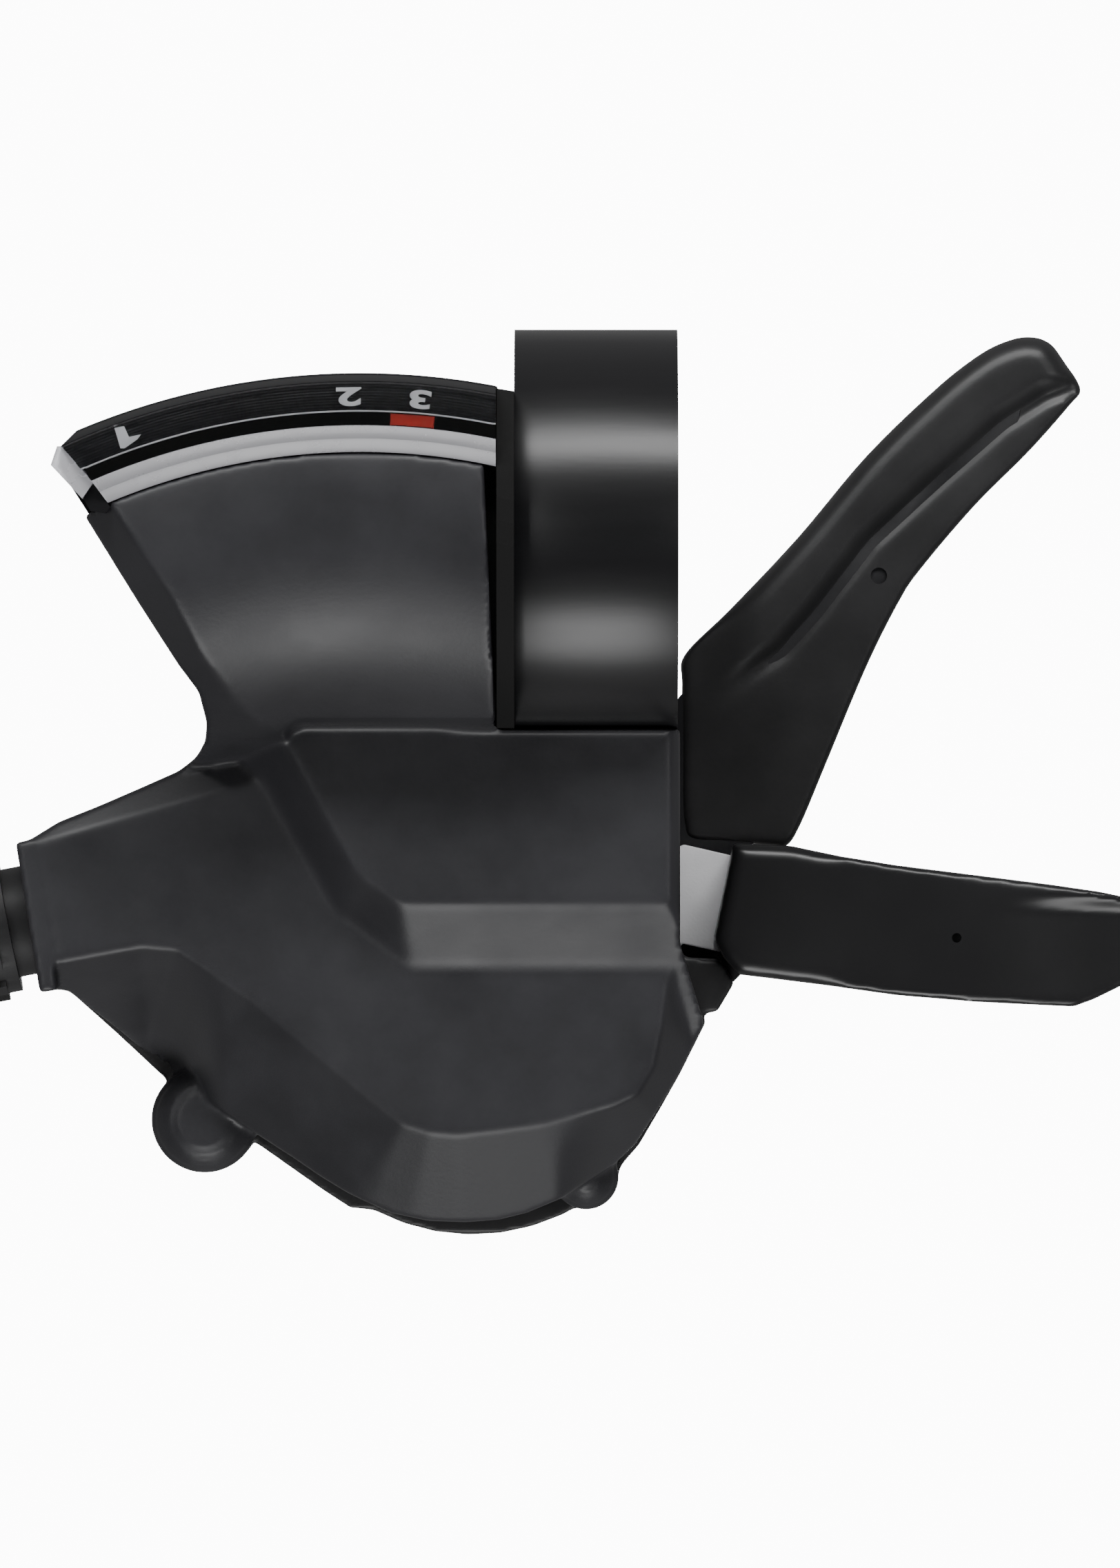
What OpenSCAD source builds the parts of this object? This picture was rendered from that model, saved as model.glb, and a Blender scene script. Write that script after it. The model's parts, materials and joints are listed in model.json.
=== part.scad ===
// Left-hand thumb shifter for a flat handlebar, three gears, with a window display.
// Origin: centre of the handlebar bore, at the middle of the clamp band.
// +X runs along the handlebar towards the grip, +Y towards the rider, +Z up.

/* [Handlebar clamp] */
// Radius of the handlebar bore
bar_r = 11.15; // [11:0.05:11.3]
// Outer radius of the clamp band
band_r = 14.5; // [14.2:0.1:14.8]
// Width of the clamp band along the handlebar
band_w = 11.8; // [11:0.1:12]
// Gap between the clamp ears
ear_gap = 2.5; // [1.5:0.5:3]

/* [Mechanism] */
// Angle between two ratchet teeth
tooth_pitch = 12.5; // [12.5:0.5:13]
// Radius of the cable groove in the winder
groove_r = 12.9; // [12.6:0.1:13]
// Radius at which the drive pin of the display stands on the winder
drive_r = 10; // [9.8:0.1:10.2]
// Thickness of the lever plates
plate_t = 1.5; // [1.2:0.1:1.6]

/* [Housing] */
// Wall thickness of the moulded covers
wall = 1.5; // [1.2:0.1:1.6]
// Height of the raised platform face
platform_z = 3; // [2:0.5:3.5]
// Height of the lower face of the top cover
face_z = -0.5; // [-1:0.1:0]
// Parting height between the top and base covers
split_z = -13; // [-14:0.5:-12.5]
// Height of the underside of the base cover
floor_z = -28; // [-30:0.5:-27.8]

/* [Display] */
// Outer radius of the saddle that wraps round the handlebar
saddle_r = 17; // [16.8:0.1:17.2]
// Outer radius of the display about its pivot
display_r = 52.1; // [51.5:0.1:52.5]

/* [Cable adjuster] */
// Height of the cable axis
cable_z = -11.5; // [-12:0.1:-11]
// Direction of the cable axis in plan
cable_a = 11; // [10:0.5:12]

/* [Hidden] */
$fn = 64;
bevel_z = -5.5;                  // where the bevel of the top cover ends
lip = 0.3;                        // edge height of the bevelled faces
fit = 0.05;                      // radial clearance of a running fit
main = [-7.5, -35];              // main axle
pivot = [-16.9, -41.1];          // display arm pivot
flange = [-40.5, -28.2];         // where the cable axis leaves the housing
axle_r = 2.5;
bracket_z = -5.6;                // upper face of the bracket plate
arm_z = -5.1;                    // underside of the display arm's flat part
band_screw_z = [-9.8, -1.4];
lever_z = -20.1;                 // upper face of the thumb lever plate
release_z = -17.2;               // upper face of the release lever plate
pin_r = 1;
pawl_arm = 11.5;                 // distance of both pawl pins from the main axle
drive_pawl_a = 190;
hold_pawl_a = 277.5;
stem_r = 2.1;                    // radius of the hollow adjuster stem
saddle_c = 42.9;                 // radius about the pivot of the saddle's own centre
band_gap_x = -band_w / 2 - 0.02; // end wall of the display, just clear of the band
bolt_z = -18.2;                  // height of the clamp bolt
winder_low = -14.5;
winder_high = -8.5;
pawl_low = -16.5;
pawl_high = -14.7;
pad_hole = [20.9, -3.1];         // blind hole in the thumb pad
rest_drive_a = 8;                // angle of the drive pin at rest
screw_left = [-28.6, -43];
screw_right = [-0.7, -47.2];

// ---- helpers ----
function polar(c, r, a) = [c.x + r * cos(a), c.y + r * sin(a)];
function arc(c, r, a0, a1, n = 8) = [for (i = [0:n]) polar(c, r, a0 + (a1 - a0) * i / n)];
module at(p, z = 0) { translate([p.x, p.y, z]) children(); }
module disc(p, r, z0, z1) { at(p, z0) cylinder(r = r, h = z1 - z0); }
module slab(z0, z1) { translate([0, 0, z0]) linear_extrude(z1 - z0) children(); }
module along_cable(d) {
    at(flange, cable_z) rotate([0, 0, cable_a]) translate([d, 0, 0]) rotate([0, 90, 0]) children();
}
// A closely wound coil of round wire standing on z = 0
module coil(r, wire, turns, pitch, sides = 6, steps = 14) {
    n = turns * steps;
    pts = [for (i = [0:n], k = [0:sides - 1])
        let (t = 360 * i / steps, q = 360 * k / sides, u = r + wire * cos(q))
        [u * cos(t), u * sin(t), wire + pitch * i / steps + wire * sin(q)]];
    sides_f = [for (i = [0:n - 1], k = [0:sides - 1])
        [i * sides + k, i * sides + (k + 1) % sides,
         (i + 1) * sides + (k + 1) % sides, (i + 1) * sides + k]];
    ends = [[for (k = [sides - 1:-1:0]) k], [for (k = [0:sides - 1]) n * sides + k]];
    polyhedron(points = pts, faces = [for (f = concat(sides_f, ends)) [for (j = [len(f) - 1:-1:0]) f[j]]],
        convexity = 6);
}
// A layer of the saddle: a ring section swept about the display pivot
module saddle_layer(r0, r1, a0, a1) {
    at(pivot) rotate_extrude($fn = 96) translate([saddle_c, 0])
        polygon(concat(arc([0, 0], r1, a0, a1, 24), arc([0, 0], r0, a1, a0, 24)));
}

// ---- outlines in plan ----
module body_outline() {
    polygon(concat([[6.1, -14.5], [6.1, -30], [8.1, -35.9], [6.2, -39.7], [4.9, -42],
        [3.2, -44.9], [1.9, -46.4]],
        arc([-9, -36], 15.5, -47, -118, 8),
        [[-18, -49.5], [-20, -48.2], [-24.4, -45.1], [-31.9, -39.7], [-35, -36.8],
        [-38.6, -33.6], [-40.2, -33.3], [-41.9, -23], [-39, -21.2], [-33, -18.7],
        [-30.3, -17.5], [-28.8, -16.3], [-28.2, -14.5]]));
}
module fan_outline(inset = 0) {
    intersection() {
        at(pivot) circle(display_r, $fn = 160);
        polygon([[-7.2 - inset, -14.5], [-7.2 - inset, 12], [-30, 14], [-38.8 + inset, 5.6],
            [-39 + inset, 4.3], [-33 + inset, -5.2], [-29.9 + inset, -10], [-28.2 + inset, -14.5]]);
    }
}

// ---- clamp ----
module clamp_band() {
    color([0.09, 0.09, 0.1]) difference() {
        union() {
            rotate([0, 90, 0]) cylinder(r = band_r, h = band_w, center = true, $fn = 96);
            translate([-band_w / 2, -15.5, -13]) cube([band_w, 6, 14]);
            translate([-band_w / 2, -6, -22]) cube([band_w, 12, 11]);
        }
        rotate([0, 90, 0]) cylinder(r = bar_r, h = band_w + 1, center = true, $fn = 96);
        translate([-band_w, -ear_gap / 2, -23]) cube([2 * band_w, ear_gap, 14]);
        translate([0, 10, bolt_z]) rotate([90, 0, 0]) cylinder(r = 2.6, h = 20);
        for (z = band_screw_z) translate([0, -11, z]) rotate([90, 0, 0]) cylinder(r = 1.6, h = 6);
    }
}
module clamp_bolt() {
    color([0.2, 0.2, 0.21]) translate([0, 0, bolt_z]) rotate([90, 0, 0]) difference() {
        union() {
            translate([0, 0, -6]) cylinder(r = 2.5, h = 15.5);
            translate([0, 0, -10]) cylinder(r = 4.2, h = 4);
        }
        translate([0, 0, -10.5]) cylinder(r = 2.3, h = 2.6, $fn = 6);
    }
}
module clamp_nut() {
    color([0.6, 0.6, 0.62]) translate([0, 0, bolt_z]) rotate([90, 0, 0]) difference() {
        translate([0, 0, 6]) cylinder(r = 4.1, h = 3, $fn = 6);
        translate([0, 0, 5]) cylinder(r = 2.5, h = 5);
    }
}
// ---- fixed structure ----
module bracket() {
    color([0.62, 0.63, 0.65]) difference() {
        union() {
            slab(bracket_z - 1.6, bracket_z) polygon([[3.2, -15.5], [3.2, -22], [2.6, -30], [3.6, -36],
                [-0.6, -42.6], [-3.2, -45.6], [-4.8, -47.1], [-8, -47.4], [-14, -46], [-21, -42.5],
                [-21, -38], [-17, -28], [-5.4, -22], [-5.4, -15.5]]);
            translate([-5.4, -18, -13]) cube([10.8, 2.5, 7.4]);
            translate([-3.6, -18, -6]) cube([7.2, 2.5, 6.9]);
        }
        disc(main, axle_r, -8, -4);
        disc(pivot, 1.5, -8, -4);
        disc(polar(main, pawl_arm, hold_pawl_a), pin_r, -8, -4);
        slab(-9, -4) polygon(concat(arc(main, drive_r + 1.7, rest_drive_a - 11, rest_drive_a + 60, 16),
            arc(main, drive_r - 1.7, rest_drive_a + 60, rest_drive_a - 11, 16)));
        for (z = band_screw_z) translate([0, -15, z]) rotate([90, 0, 0]) cylinder(r = 1.75, h = 4);
    }
}
module band_screws() {
    color([0.7, 0.7, 0.72]) for (z = band_screw_z) translate([0, -12.2, z]) rotate([90, 0, 0])
        difference() {
            union() { cylinder(r = 1.6, h = 5.8); translate([0, 0, 5.8]) cylinder(r = 2.6, h = 2); }
            translate([0, 0, 6.8]) cylinder(r = 1.2, h = 2, $fn = 6);
        }
}
module main_axle() {
    color([0.7, 0.71, 0.73]) union() {
        disc(main, axle_r, -26, bracket_z);
        disc(main, 3.6, -8, bracket_z - 1.6);
    }
}
module lever_bushing() {
    color([0.75, 0.6, 0.35]) difference() {
        union() {
            disc(main, 3.6, -22.2, -19);
            disc(main, 5, -22.8, -22.2);
        }
        disc(main, axle_r, -24, -18);
    }
}
module axle_washer() {
    color([0.7, 0.7, 0.72]) difference() { disc(main, 5, -23.5, -22.8); disc(main, axle_r, -24, -22); }
}
module axle_nut() {
    color([0.66, 0.66, 0.68]) difference() {
        at(main, -26) cylinder(r = 4.6, h = 2.5, $fn = 6);
        disc(main, axle_r, -27, -23);
    }
}
// ---- cable winder and ratchet ----
module wedge(r, a0, a1) { polygon(concat([[main.x, main.y]], arc(main, r, a0, a1, 10))); }
module winder() {
    color([0.55, 0.56, 0.58]) difference() {
        union() {
            disc(main, 8.4, winder_low, winder_high);
            slab(winder_low, winder_high) wedge(11.8, -6, 42);
            intersection() {
                disc(main, 13.6, winder_low, winder_high);
                slab(-15, -8)
                    polygon([main, polar(main, 30, 34), polar(main, 40, 73), polar(main, 30, 112)]);
            }
        }
        disc(main, axle_r + fit, -15, -8);
        disc(main, 7.6, -10.6, -8);
        at(main, cable_z) rotate_extrude() translate([groove_r + 0.4, 0]) circle(0.9, $fn = 24);
        disc(polar(main, 11, 45), 1.6, -13.6, -8);
        disc(polar(main, drive_r, rest_drive_a), pin_r, -12, -8);
    }
}
module winder_spring() { color("silver") at(main, -10.5) coil(6, 0.45, 2, 1.05, 6, 18); }
module drive_pin() { color("silver") disc(polar(main, drive_r, rest_drive_a), pin_r, -12, -3.9); }
module ratchet_wheel() {
    first = drive_pawl_a - 53 - 13 * tooth_pitch;
    color([0.45, 0.46, 0.48]) difference() {
        slab(-16.6, winder_low) polygon([for (i = [0:27], p = [[8, 0], [6.9, 0.6]])
            polar(main, p[0], first + i * tooth_pitch + p[1])]);
        disc(main, axle_r + fit, -17, -14);
    }
}
module pawl(a) {
    p = polar(main, pawl_arm, a);
    color([0.5, 0.51, 0.53]) difference() {
        union() {
            disc(p, 2.1, pawl_low, pawl_high);
            slab(pawl_low, pawl_high) polygon([polar(main, 13.3, a - 2), polar(main, 11.2, a - 36),
                polar(main, 9.8, a - 52), polar(main, 8.3, a - 51), polar(main, 8.3, a - 48.5),
                polar(main, 9.3, a - 40), polar(main, 9.3, a - 25), polar(main, 9.6, a - 3)]);
        }
        disc(p, pin_r + fit, -17, -14);
    }
}
module drive_pawl() { pawl(drive_pawl_a); }
module holding_pawl() { pawl(hold_pawl_a); }
module drive_pawl_pin() {
    p = polar(main, pawl_arm, drive_pawl_a);
    color("silver") union() {
        disc(p, pin_r, lever_z - plate_t, pawl_high + fit);
        disc(p, 1.7, -22.2, lever_z - plate_t);
    }
}
module holding_pawl_pin() {
    p = polar(main, pawl_arm, hold_pawl_a);
    color("silver") union() { disc(p, pin_r, -16.6, bracket_z); disc(p, 1.7, -17.2, -16.6); }
}
module drive_pawl_spring() {
    color("silver") at(polar(main, pawl_arm, drive_pawl_a), -18.9) coil(1.55, 0.22, 3, 0.5, 5, 10);
}
module holding_pawl_spring() {
    color("silver") at(polar(main, pawl_arm, hold_pawl_a), -14.5) coil(1.55, 0.22, 4, 0.5, 5, 10);
}
// ---- levers ----
module release_outline() {
    polygon(concat(arc(main, 7.2, 60, 330, 16), [[2, -37.4], [6.4, -30.2], [9.2, -30.8], [31, -32.6],
        [33, -31], [33, -29], [31, -27.4], [10.4, -23.8], [6.5, -22.9], [1, -25.5]]));
}
module release_lever() {
    color([0.75, 0.75, 0.77]) difference() {
        slab(release_z - plate_t, release_z) release_outline();
        disc(main, axle_r + fit, -19, -17);
    }
}
module release_lever_pad() {
    color([0.1, 0.1, 0.11]) difference() {
        slab(release_z - plate_t, -9.5) polygon(concat([[10.1, -22.8], [14.4, -23], [22, -24.4], [38, -26.4]],
            arc([37.6, -29.9], 3.4, 60, -75, 6),
            [[35, -34.75], [28, -34.4], [17, -33.2], [10.5, -32.4], [8.7, -29.8]]));
        slab(release_z - plate_t - 0.1, release_z) release_outline();
        translate([33.2, -36.6, -14]) rotate([0, 90, 90]) cylinder(r = 3.1, h = 3.4);
    }
}
module main_outline() {
    polygon(concat(arc(main, 7, 100, 340, 16), [[6.5, -28], [14, -20.5], [19, -8.5], [24.5, 0],
        [31, 7], [31.5, 10], [29, 11.4], [25, 8.6], [18.6, 2], [12, -5.8], [6.2, -12], [-1.5, -24]]));
}
module main_lever() {
    color([0.3, 0.3, 0.32]) difference() {
        union() {
            slab(lever_z - plate_t, lever_z) main_outline();
            slab(lever_z - plate_t, lever_z) polygon([polar(main, 6.9, 150), polar(main, 13.6, 178),
                polar(main, 14.2, 190), polar(main, 13.6, 202), polar(main, 6.9, 230)]);
        }
        disc(main, 3.6 + fit, -23, -19);
        disc(polar(main, pawl_arm, drive_pawl_a), pin_r, -23, -19);
    }
}
module main_lever_pad() {
    color([0.12, 0.12, 0.13]) difference() {
        union() {
            slab(-22.4, -19.8) polygon([[6.6, -8.9], [6.5, -22.6], [14.2, -23], [14.4, -23], [17, -17],
                [20, -9.8], [22.4, -5], [26, 0], [32, 6.1], [35.8, 10.6], [33.5, 14.1], [31.9, 14.55],
                [30, 14.1], [25, 10.6], [18.6, 4.1], [10, -5.5]]);
            slab(-27, -19.1) polygon([[6.6, -8.9], [9.5, -10.4], [13.5, -8.3], [20, -0.3], [25, 4.3],
                [33, 10.5], [35.8, 10.6], [34.5, 12.7], [33.5, 14.1], [31.9, 14.55], [30, 14.1],
                [28, 13], [25, 10.6], [20, 5.75], [15, -0.2], [10, -5.5]]);
        }
        slab(lever_z - plate_t, lever_z) main_outline();
        disc(pad_hole, 0.6, -21.2, -19);
    }
}
module main_lever_spring() { color("silver") at(main, -25.35) coil(5.8, 0.42, 3, 0.93, 6, 16); }
module release_lever_spring() { color("silver") at(main, -19.35) coil(5, 0.25, 0.9, 0.1, 6, 20); }
// ---- display ----
module arm_outline() {
    a = 85.6;
    b = 79.6;
    polygon([polar(pivot, 2.6, b - 60), polar(pivot, 33, b - 2.6), polar(pivot, 44, a - 1.9),
        polar(pivot, 48.6, a - 1.9), polar(pivot, 48.6, a + 1.9), polar(pivot, 44, a + 1.9),
        polar(pivot, 33, b + 2.6), polar(pivot, 2.6, b + 60)]);
}
module pointer_outline(r) {
    polygon([for (p = [[47.6, 83.7], [r, 83.7], [r, 87.5], [47.6, 87.5]]) polar(pivot, p[0], p[1])]);
}
module indicator_arm() {
    pin = polar(main, drive_r, rest_drive_a);
    aim = atan2(pin.y - pivot.y, pin.x - pivot.x);
    color([0.85, 0.85, 0.87]) difference() {
        union() {
            disc(pivot, 2.6, arm_z, arm_z + 1);
            at(pivot, arm_z) rotate([0, 0, aim]) translate([0, -1.75, 0]) cube([22.9, 3.5, 1]);
            intersection() {
                disc(pivot, 29, arm_z, arm_z + 1);
                slab(-6, 0) arm_outline();
            }
            intersection() {
                saddle_layer(14, 15, 62, 199);
                slab(-6, 20) arm_outline();
            }
            slab(13.2, 14.3) pointer_outline(48.6);
        }
        disc(pivot, 1.5 + fit, -6, 0);
        at(pivot, -6) rotate([0, 0, aim]) translate([19.4, -pin_r - fit, 0])
            cube([2.9, 2 * (pin_r + fit), 5]);
    }
}
module indicator_pivot() {
    color("silver") union() { disc(pivot, 1.5, bracket_z - 1.6, -4); disc(pivot, 2.3, -4, -3.5); }
}
module indicator_pointer() {
    color([0.78, 0.15, 0.1]) slab(14.3, 15.2) pointer_outline(49.5);
}
module indicator_base() {
    color([0.1, 0.1, 0.11]) union() {
        intersection() {
            union() {
                saddle_layer(12.95, 13.7, 42, 190);
                at(pivot) rotate_extrude($fn = 96) translate([50.9, 8.5]) square([1.2, 4.4]);
            }
            slab(-4, 20) fan_outline(-0.1);
        }
        intersection() {
            saddle_layer(12.95, 17, 42, 172);
            slab(-4, 20) polygon([[-7.15, -14.4], [band_gap_x, -14.4], [band_gap_x, 9.7], [-7.15, 9.9]]);
        }
    }
}
module indicator_scale() {
    color([0.05, 0.05, 0.06]) intersection() {
        at(pivot) rotate_extrude($fn = 96) translate([49.75, 15]) square([1.15, 0.9]);
        slab(10, 20) fan_outline(0.9);
    }
}
module indicator_window() {
    color([0.75, 0.76, 0.78, 0.5]) intersection() {
        at(pivot) rotate_extrude($fn = 96) polygon([[46.3, 16.62], [48.3, 17.9], [51.5, 17.3],
            [display_r, 16.6], [display_r, 12.95], [51, 12.95], [51, 16.2], [48.6, 16.8], [47.2, 16.25],
            [46.6, 15.5], [46.3, 15.5]]);
        slab(10, 20) fan_outline();
    }
}
// ---- covers ----
module face_outline() {
    polygon([[6.1, -14.5], [6.1, -30], [5.2, -33], [4.2, -39], [1.3, -41.8], [-6.6, -43.5],
        [-12, -43.75], [-16, -41.5], [-25, -34], [-28, -32], [-33, -30.4], [-39.6, -31.4],
        [-41.9, -23], [-39, -21.2], [-33, -18.7], [-28.2, -14.5]]);
}
module platform_block(inset, top) {
    hull() {
        slab(top - lip, top) polygon([[6.1 - inset, -14.5], [6.1 - inset, -27.1 + inset],
            [-14 + inset, -27 + inset], [-17.8 + inset, -24], [-22.7 + inset, -15.3],
            [-22.4 + inset, -14.5]]);
        slab(face_z - inset - 1, face_z - inset) polygon([[6.1 - inset, -14.5], [6.1 - inset, -31.8 + inset],
            [-15.6 + inset, -31.8 + inset], [-20 + inset, -25.5], [-24.6 + inset, -18.3],
            [-24.6 + inset, -14.5]]);
    }
}
module shell_solid() {
    intersection() {
        slab(split_z, face_z) body_outline();
        hull() {
            slab(split_z - 1, bevel_z) body_outline();
            slab(face_z - lip, face_z) face_outline();
        }
    }
}
// The hollow under the bevelled shell, stepped inwards as it rises
module shell_hollow() {
    slab(split_z - 1, bevel_z) offset(delta = -wall) body_outline();
    slab(bevel_z - 1, bevel_z + 1.4) offset(delta = -wall - 2) body_outline();
    slab(bevel_z - 1, face_z - wall) offset(delta = -wall) face_outline();
    disc(pivot, 2.9, -7.5, -3.3);
    intersection() {
        disc(pivot, 23.3, -5.6, -3.8);
        slab(-6, -2) polygon([[-10, -24], [-10, -37], [7, -37], [7, -24]]);
    }
}
module top_cover() {
    color([0.27, 0.27, 0.29]) difference() {
        union() {
            difference() {
                union() { shell_solid(); platform_block(0, platform_z); }
                shell_hollow();
                platform_block(wall, platform_z - wall);
                translate([-6.1, -19, -14]) cube([12, 5, 15.4]);
                translate([-27, -17, -6]) cube([18, 4, 6.5]);
            }
            intersection() {
                saddle_layer(15.4, saddle_r, 79, 188);
                slab(-3, 20) fan_outline();
            }
            intersection() {
                saddle_layer(13.8, 15.5, 66, 188);
                slab(-3, 20) difference() { fan_outline(); translate([1.2, 0]) fan_outline(-9); }
            }
            difference() {
                slab(-7, 5)
                    polygon([[-28.3, -14.4], [-28.8, -16.3], [-30.3, -17.6], [-23, -19], [-21.5, -14.4]]);
                slab(-8, 3.5) polygon([[-27, -14], [-27.2, -16.4], [-26.3, -19.5], [-21, -19.5], [-21, -14]]);
            }
            disc(screw_left, 3.9, split_z, -8.5);
            disc(screw_right, 2.4, split_z, -8.5);
            intersection() {
                along_cable(-0.05) cylinder(r = 5.4, h = 9);
                translate([-60, -60, -20]) cube([80, 46, 20]);
            }
        }
        along_cable(-1) cylinder(r = stem_r + fit, h = 12);
        along_cable(-1) cylinder(r = 4.3, h = 4);
        for (p = [screw_left, screw_right]) disc(p, 1.25, split_z - 1, -9.9);
        at(screw_left) slab(-9, -8) difference() { circle(2.9); circle(1.5); }
        translate([3.5, -26, -7.6]) rotate([0, 90, 0]) cylinder(r = 2, h = 3);
        translate([5.4, -26, -7.6]) rotate([0, 90, 0]) cylinder(r = 2.65, h = 2);
    }
}
module base_cover() {
    color([0.15, 0.15, 0.16]) union() {
        slab(-19.6, split_z) polygon([[6.3, -31.2], [9.1, -31.3], [10.2, -33], [8.9, -35.2], [7.4, -35.2]]);
        slab(-19.6, -18.9) polygon([[6.5, -28.6], [8.3, -28.6], [9.3, -31.5], [6.5, -33]]);
        base_shell();
    }
}
module base_shell() {
    difference() {
        union() {
            slab(floor_z, split_z) body_outline();
            disc(screw_left, 3.9, -24, split_z);
            disc(screw_right, 2.4, -24, split_z);
        }
        slab(floor_z + wall, split_z + 1) offset(delta = -wall) body_outline();
        slab(-21.6, -16.9) polygon(concat([[main.x - 2, main.y - 6]], arc(main, 40, -28, 92, 4)));
        along_cable(-2) cylinder(r = 5.5, h = 12);
        translate([-6.1, -19, -15]) cube([12, 5, 3]);
        for (p = [screw_left, screw_right]) { disc(p, 1.3, -25, -12); disc(p, 2.4, floor_z - 1, -24); }
        at(main) translate([0, 0, floor_z - 1]) cylinder(r = 6.6, h = 4);
    }
}
module cover_screws() {
    color([0.6, 0.6, 0.62]) for (p = [screw_left, screw_right]) difference() {
        union() { disc(p, 1.25, -24, -10); disc(p, 2.3, -25.4, -24); }
        at(p, -25.6) cylinder(r = 0.9, h = 1, $fn = 6);
    }
}
module cable_plug() {
    color([0.13, 0.13, 0.14]) translate([4, -26, -7.6]) rotate([0, 90, 0]) union() {
        cylinder(r = 1.95, h = 1.5);
        translate([0, 0, 1.4]) cylinder(r = 2.6, h = 0.6);
    }
}
// ---- cable adjuster ----
module adjuster_screw() {
    color([0.13, 0.13, 0.14]) difference() {
        along_cable(-6) cylinder(r = stem_r, h = 13);
        along_cable(-7) cylinder(r = 0.9, h = 15);
    }
}
module adjuster_knob() {
    color([0.12, 0.12, 0.13]) difference() {
        union() {
            along_cable(-2.4) cylinder(r = 4, h = 2.1);
            along_cable(-12) cylinder(r = 5, h = 9.6);
            for (k = [0:11]) along_cable(-11.4) rotate([0, 0, 30 * k]) translate([4.7, -0.6, 0])
                cube([0.8, 1.2, 8]);
        }
        along_cable(-6.05) cylinder(r = stem_r + fit, h = 8);
        along_cable(-13) cylinder(r = 2.6, h = 6.5);
        along_cable(-8) cylinder(r = 0.95, h = 4);
    }
}
module adjuster_spring() { color("silver") along_cable(0.2) coil(3.5, 0.32, 3, 0.7, 6, 14); }

bracket();
clamp_band();
clamp_bolt();
clamp_nut();
band_screws();
top_cover();
base_cover();
cover_screws();
indicator_window();
indicator_scale();
indicator_base();
indicator_arm();
indicator_pointer();
indicator_pivot();
main_axle();
axle_nut();
axle_washer();
lever_bushing();
winder();
winder_spring();
drive_pin();
ratchet_wheel();
main_lever();
main_lever_pad();
main_lever_spring();
drive_pawl();
drive_pawl_pin();
drive_pawl_spring();
release_lever();
release_lever_pad();
release_lever_spring();
holding_pawl();
holding_pawl_pin();
holding_pawl_spring();
adjuster_knob();
adjuster_screw();
adjuster_spring();
cable_plug();
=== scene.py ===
import json
import math

import bmesh
import bpy
import numpy as np
from mathutils import Matrix, Vector


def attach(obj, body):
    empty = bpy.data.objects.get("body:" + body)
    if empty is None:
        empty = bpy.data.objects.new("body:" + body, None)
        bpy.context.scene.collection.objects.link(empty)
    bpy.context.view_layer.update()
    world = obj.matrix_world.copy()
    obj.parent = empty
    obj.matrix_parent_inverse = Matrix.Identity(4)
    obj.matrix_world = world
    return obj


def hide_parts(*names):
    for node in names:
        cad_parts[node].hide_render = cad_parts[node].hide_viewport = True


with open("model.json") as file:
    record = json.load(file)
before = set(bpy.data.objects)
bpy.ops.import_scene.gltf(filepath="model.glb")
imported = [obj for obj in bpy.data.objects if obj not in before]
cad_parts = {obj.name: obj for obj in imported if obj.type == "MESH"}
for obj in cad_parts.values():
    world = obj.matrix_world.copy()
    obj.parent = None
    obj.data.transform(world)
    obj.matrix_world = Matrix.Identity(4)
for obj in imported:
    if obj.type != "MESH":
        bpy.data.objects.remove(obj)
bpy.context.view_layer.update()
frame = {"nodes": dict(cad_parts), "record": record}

MM = 0.001
NODES = frame["nodes"]
RECORD = frame["record"]
BODY_OF = {n: b for b, ns in RECORD["behaviour"]["bodies"].items() for n in ns}
SLOT_OF = {s["node"]: s["material_slot"] for s in RECORD["subparts"]}

# Axis of the display, read from the frame's own joint, in millimetres
JOINT = {j["name"]: j for j in RECORD["behaviour"]["joints"]}
PIVOT_MM = tuple(c / MM for c in JOINT["indicator_turn"]["pos_m"][:2])


# ---------------------------------------------------------------- materials
def new_material(name):
    """A material with its nodes, its links and its main shader."""
    mat = bpy.data.materials.new(name)
    mat.use_nodes = True
    nodes = mat.node_tree.nodes
    return mat, nodes, mat.node_tree.links, nodes["Principled BSDF"]


def noise(nodes, links, coords, scale, detail=3.0, rough=0.55):
    """The value of a noise texture, about 0.3 to 0.7."""
    tex = nodes.new("ShaderNodeTexNoise")
    tex.inputs["Scale"].default_value = scale
    tex.inputs["Detail"].default_value = detail
    tex.inputs["Roughness"].default_value = rough
    links.new(coords, tex.inputs["Vector"])
    return tex.outputs["Fac"]


def spread(nodes, links, value, low, high):
    """Maps a noise value onto the range low to high."""
    node = nodes.new("ShaderNodeMapRange")
    node.inputs["From Min"].default_value = 0.3
    node.inputs["From Max"].default_value = 0.7
    node.inputs["To Min"].default_value = low
    node.inputs["To Max"].default_value = high
    links.new(value, node.inputs["Value"])
    return node.outputs["Result"]


def two_tone(nodes, links, value, dark, light):
    """Colours a noise value from dark to light."""
    ramp = nodes.new("ShaderNodeValToRGB")
    ramp.color_ramp.elements[0].position = 0.35
    ramp.color_ramp.elements[1].position = 0.65
    ramp.color_ramp.elements[0].color = (*dark, 1)
    ramp.color_ramp.elements[1].color = (*light, 1)
    links.new(value, ramp.inputs["Fac"])
    return ramp.outputs["Color"]


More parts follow.
